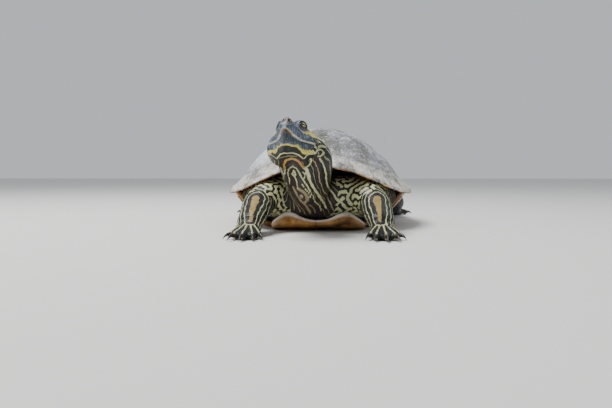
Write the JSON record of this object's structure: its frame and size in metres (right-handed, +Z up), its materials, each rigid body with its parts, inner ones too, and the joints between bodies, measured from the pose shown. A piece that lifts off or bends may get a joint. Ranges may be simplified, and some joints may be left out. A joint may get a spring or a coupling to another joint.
{
  "type": "pond slider turtle",
  "caption": "Pond turtle at rest on its plastron, head raised and turned, forelegs reaching forward, hind legs and tail trailing behind a low domed shell.",
  "frame": {"origin": "on the floor under the middle of the animal's bounding box", "axes": "+Z up, nose towards -Y, tail towards +Y, the animal's left side towards +X"},
  "size_m": [0.1812, 0.2846, 0.08],
  "materials": {
    "carapace": "dry keratin plates, dull sheen",
    "plastron": "worn keratin plates, satin",
    "skin": "finely scaled skin, black with yellow-green lines",
    "claw": "dark horn, satin",
    "eye": "wet eye, gloss"
  },
  "bodies": {
    "root": {"claw_fore_l1": "claw", "claw_fore_l2": "claw", "claw_fore_l3": "claw", "claw_fore_l4": "claw", "claw_fore_l5": "claw", "claw_fore_r1": "claw", "claw_fore_r2": "claw", "claw_fore_r3": "claw", "claw_fore_r4": "claw", "claw_fore_r5": "claw", "claw_hind_l1": "claw", "claw_hind_l2": "claw", "claw_hind_l3": "claw", "claw_hind_l4": "claw", "claw_hind_r1": "claw", "claw_hind_r2": "claw", "claw_hind_r3": "claw", "claw_hind_r4": "claw", "costal_l1": "carapace", "costal_l2": "carapace", "costal_l3": "carapace", "costal_l4": "carapace", "costal_r1": "carapace", "costal_r2": "carapace", "costal_r3": "carapace", "costal_r4": "carapace", "eye_l": "eye", "eye_r": "eye", "forefoot_l": "skin", "forefoot_r": "skin", "foreleg_l": "skin", "foreleg_r": "skin", "head": "skin", "hindfoot_l": "skin", "hindfoot_r": "skin", "hindleg_l": "skin", "hindleg_r": "skin", "lower_jaw": "skin", "marginals_l": "carapace", "marginals_r": "carapace", "neck": "skin", "nuchal": "carapace", "plastron_abdominal": "plastron", "plastron_anal": "plastron", "plastron_femoral": "plastron", "plastron_gular": "plastron", "plastron_humeral": "plastron", "plastron_pectoral": "plastron", "tail": "skin", "trunk": "skin", "vertebral_1": "carapace", "vertebral_2": "carapace", "vertebral_3": "carapace", "vertebral_4": "carapace", "vertebral_5": "carapace"}
  },
  "joints": []
}
